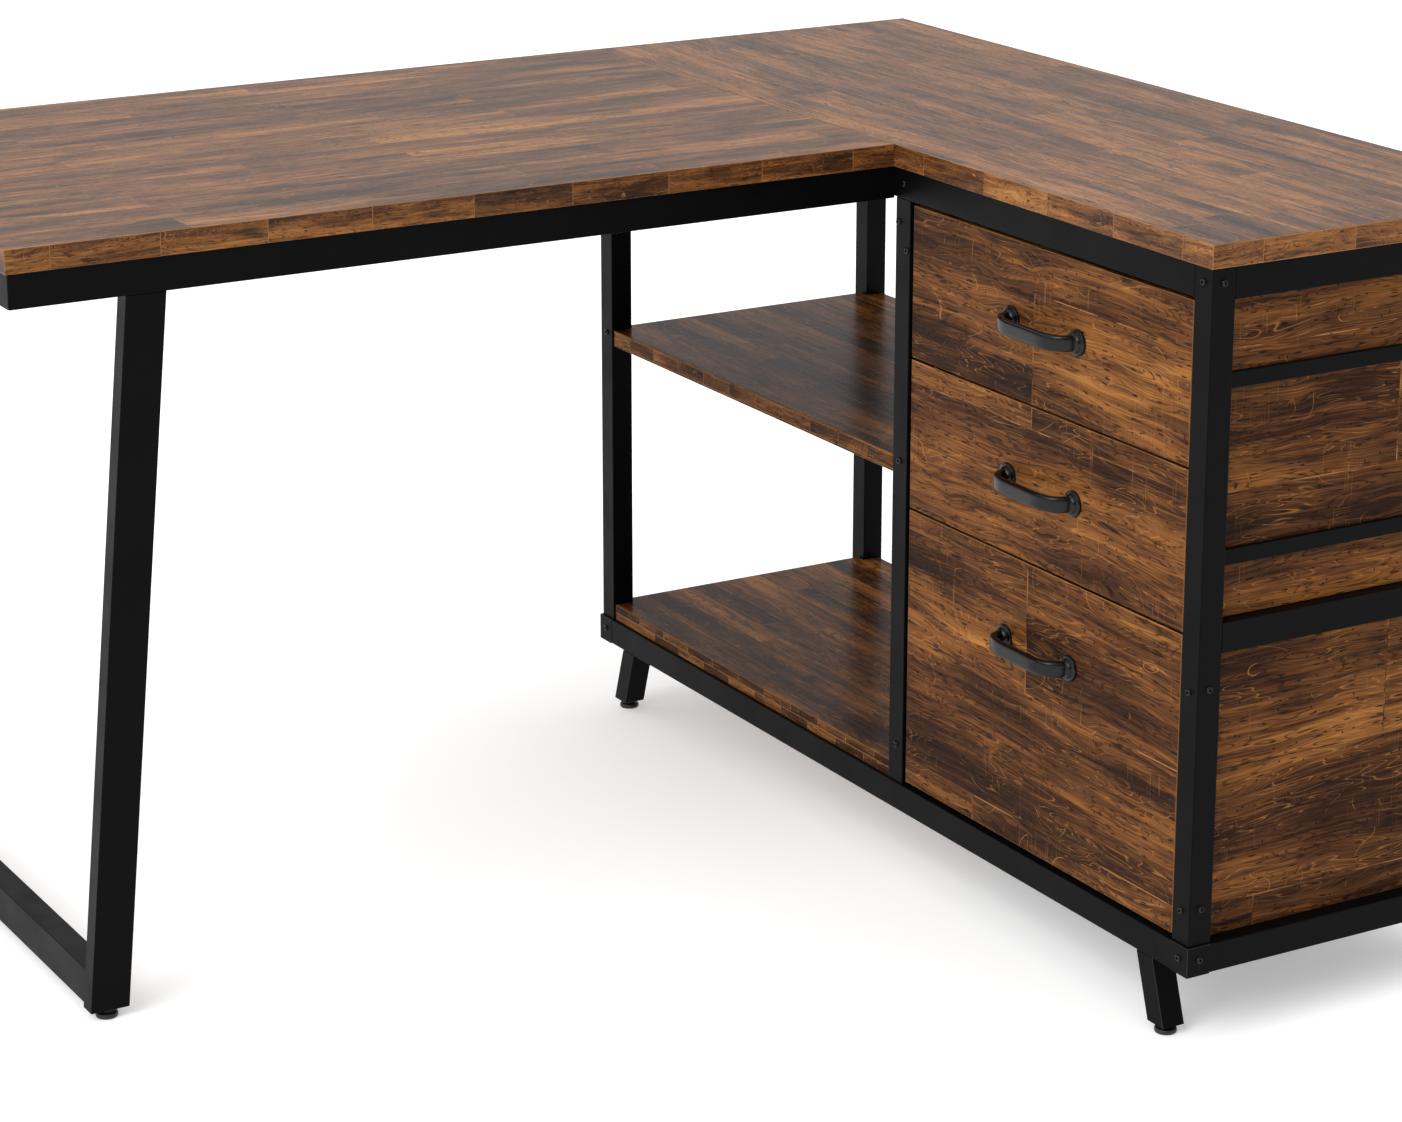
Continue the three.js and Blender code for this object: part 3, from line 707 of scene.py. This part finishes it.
def corner_plate(name, corner, inward, width, low, high):
    """A thin angle plate wrapped round a corner, standing proud of both its faces."""
    dx, dy = inward
    outline = [
        (-PLATE * dx, -PLATE * dy),
        (width * dx, -PLATE * dy),
        (width * dx, 0.0),
        (0.0, 0.0),
        (0.0, width * dy),
        (-PLATE * dx, width * dy),
    ]
    bm = bmesh.new()
    bottom = [bm.verts.new((corner.x + x, corner.y + y, low)) for x, y in outline]
    top = [bm.verts.new((corner.x + x, corner.y + y, high)) for x, y in outline]
    bm.faces.new(bottom[::-1])
    bm.faces.new(top)
    for i in range(len(outline)):
        j = (i + 1) % len(outline)
        bm.faces.new((bottom[i], bottom[j], top[j], top[i]))
    bmesh.ops.bevel(
        bm,
        geom=[e for e in bm.edges if e.calc_length() > 1.2 * PLATE],
        offset=0.12 * MM,
        segments=1,
        affect="EDGES",
    )
    return finish_piece(bm, name, black_powder_coat, "desk", 20)


plates = []
for row, y, dy in (("front", frame_low.y, 1), ("back", frame_high.y, -1)):
    for column, x, dx in (("inner", frame_low.x, 1), ("outer", frame_high.x, -1)):
        corner = Vector((x, y, 0))
        plates.append(
            corner_plate(
                f"bottom_corner_plate_{row}_{column}",
                corner,
                (dx, dy),
                post_side,
                frame_low.z - PLATE,
                frame_high.z,
            )
        )
print(len(plates), "corner plates, each", round(post_side / MM), "mm wide")


# %% Drive the screws
def screw(name, place, outward, body="desk", head=3.4 * MM):
    """A pan-head screw with a hexagon socket, its head flat on the face at this place."""
    socket = 0.46 * head
    profile = [
        (0, 0),
        (head, 0),
        (head, 0.16 * head),
        (0.93 * head, 0.34 * head),
        (0.78 * head, 0.50 * head),
        (0.62 * head, 0.57 * head),
        (socket, 0.57 * head),
        (socket, 0.16 * head),
        (0, 0.12 * head),
    ]
    bm = bmesh.new()
    turned(bm, profile, place, outward, sides=36, flats=(6, 7))
    return finish_piece(bm, name, black_lacquer, body, 30)


# Millimetres from a post's edge, and above the floor. The middle post holds the shelf rails too.
SIDE_SCREWS = {
    ("corner", "post_front_inner"): [(13, 714), (13, 340), (13, 132)],
    ("middle", "post_middle_inner"): [(12, 713), (20, 674), (5, 648), (13, 435), (12, 139)],
    ("back", "post_back_inner"): [(12, 714), (12, 434)],
}
END_SCREWS = [714, 344, 135]
PLATE_SCREW_INSET = 13 * MM
screws = []
for (label, post), places in SIDE_SCREWS.items():
    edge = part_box(post)[0].y
    for i, (inset, z) in enumerate(places):
        spot = Vector((post_low.x, edge + inset * MM, z * MM))
        screws.append(screw(f"screw_side_{label}_{i}", spot, (-1, 0, 0)))
outer_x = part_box("post_front_outer")[1].x
for i, z in enumerate(END_SCREWS):
    for side, x in (("inner", post_low.x + post_side / 2), ("outer", outer_x - post_side / 2)):
        spot = Vector((x, post_low.y, z * MM))
        screws.append(screw(f"screw_end_{side}_{i}", spot, (0, -1, 0)))
plate_z = (frame_low.z + frame_high.z) / 2 + 1 * MM
for row, y, dy in (("front", frame_low.y, 1), ("back", frame_high.y, -1)):
    for column, x, dx in (("inner", frame_low.x, 1), ("outer", frame_high.x, -1)):
        on_side = Vector((x - dx * PLATE, y + dy * PLATE_SCREW_INSET, plate_z))
        on_end = Vector((x + dx * PLATE_SCREW_INSET, y - dy * PLATE, plate_z))
        screws.append(screw(f"screw_plate_side_{row}_{column}", on_side, (-dx, 0, 0)))
        screws.append(screw(f"screw_plate_end_{row}_{column}", on_end, (0, -dy, 0)))
print(len(screws), "screws are driven")

# %% [markdown]
# ## Floor, light and camera
# A plain white floor runs out of view. The sky is a soft box of light: bright above, behind and
# to the left, and dim towards the viewer, which keeps the black steel black. A wide sun from the
# left gives the soft shadows.

# %% Lay the floor
FLOOR_HALF = 40  # metres
bm = bmesh.new()
bmesh.ops.create_grid(bm, x_segments=1, y_segments=1, size=FLOOR_HALF)
floor_mesh = bpy.data.meshes.new("floor")
bm.to_mesh(floor_mesh)
bm.free()
floor = bpy.data.objects.new("floor", floor_mesh)
floor.location.z = cad[0].z - 0.1 * MM
bpy.context.scene.collection.objects.link(floor)
paper, tree, shader = new_material("white_seamless_paper", Roughness=0.9, Metallic=0.0)
shader.inputs["Base Color"].default_value = (0.86, 0.86, 0.86, 1)
shader.inputs["Emission Color"].default_value = (1, 1, 1, 1)
shader.inputs["Emission Strength"].default_value = 0.36
shader.inputs["Specular IOR Level"].default_value = 0.1
floor_mesh.materials.append(paper)
print("The floor is", 2 * FLOOR_HALF, "m across")

# %% Light the sky
world = bpy.data.worlds.new("studio")
world.use_nodes = True
bpy.context.scene.world = world
tree = world.node_tree
background = tree.nodes["Background"]
direction = add(tree, "TexCoord").outputs["Generated"]
dx, dy, dz = add(tree, "SeparateXYZ", {0: direction}).outputs
# Each lit side of the sky: which way it lies, where its light starts and is full, and how bright.
LIT_SIDES = {
    "behind": (dy, -0.6, 0.5, 0.75),
    "left": (dx, 0.1, -0.9, 0.25),
    "above": (dz, 0.25, 0.9, 0.9),
}
sky = 0.0
for way, start, full, brightness in LIT_SIDES.values():
    span = {0: way, 1: start, 2: full, 3: 0.0, 4: brightness}
    side = add(tree, "MapRange", span, interpolation_type="SMOOTHSTEP").outputs[0]
    sky = add(tree, "Math", {0: sky, 1: side}, operation="MAXIMUM").outputs[0]
sky = add(tree, "Math", {0: sky, 1: 0.18}, operation="ADD").outputs[0]
tree.links.new(sky, background.inputs["Strength"])
background.inputs["Color"].default_value = (1, 1, 1, 1)
print("The sky is brightest above")

# %% Hang the sun
sun_data = bpy.data.lights.new("soft_sun", "SUN")
sun_data.energy = 1.55
sun_data.angle = math.radians(38)
sun = bpy.data.objects.new("soft_sun", sun_data)
sun.rotation_mode = "QUATERNION"
sun.rotation_quaternion = Vector((0.95, 0.38, -0.85)).to_track_quat("-Z", "Y")
bpy.context.scene.collection.objects.link(sun)
print("The sun spreads over", round(math.degrees(sun_data.angle)), "degrees")

# %% Set the camera
camera_data = bpy.data.cameras.new("camera")
camera_data.sensor_fit = "HORIZONTAL"
camera_data.sensor_width = 36
camera_data.lens = 98.0885
camera_data.shift_y = -0.1
camera_data.clip_end = 200
camera = bpy.data.objects.new("camera", camera_data)
camera.location = (-1.7259, -3.0785, 1.4849)
PITCH_DOWN = 15.65
TURN_RIGHT = 30.17
camera.rotation_euler = (math.radians(90 - PITCH_DOWN), 0, math.radians(-TURN_RIGHT))
bpy.context.scene.collection.objects.link(camera)
bpy.context.scene.camera = camera
bpy.context.scene.view_settings.view_transform = "Standard"
print("The lens is", round(camera_data.lens), "mm")
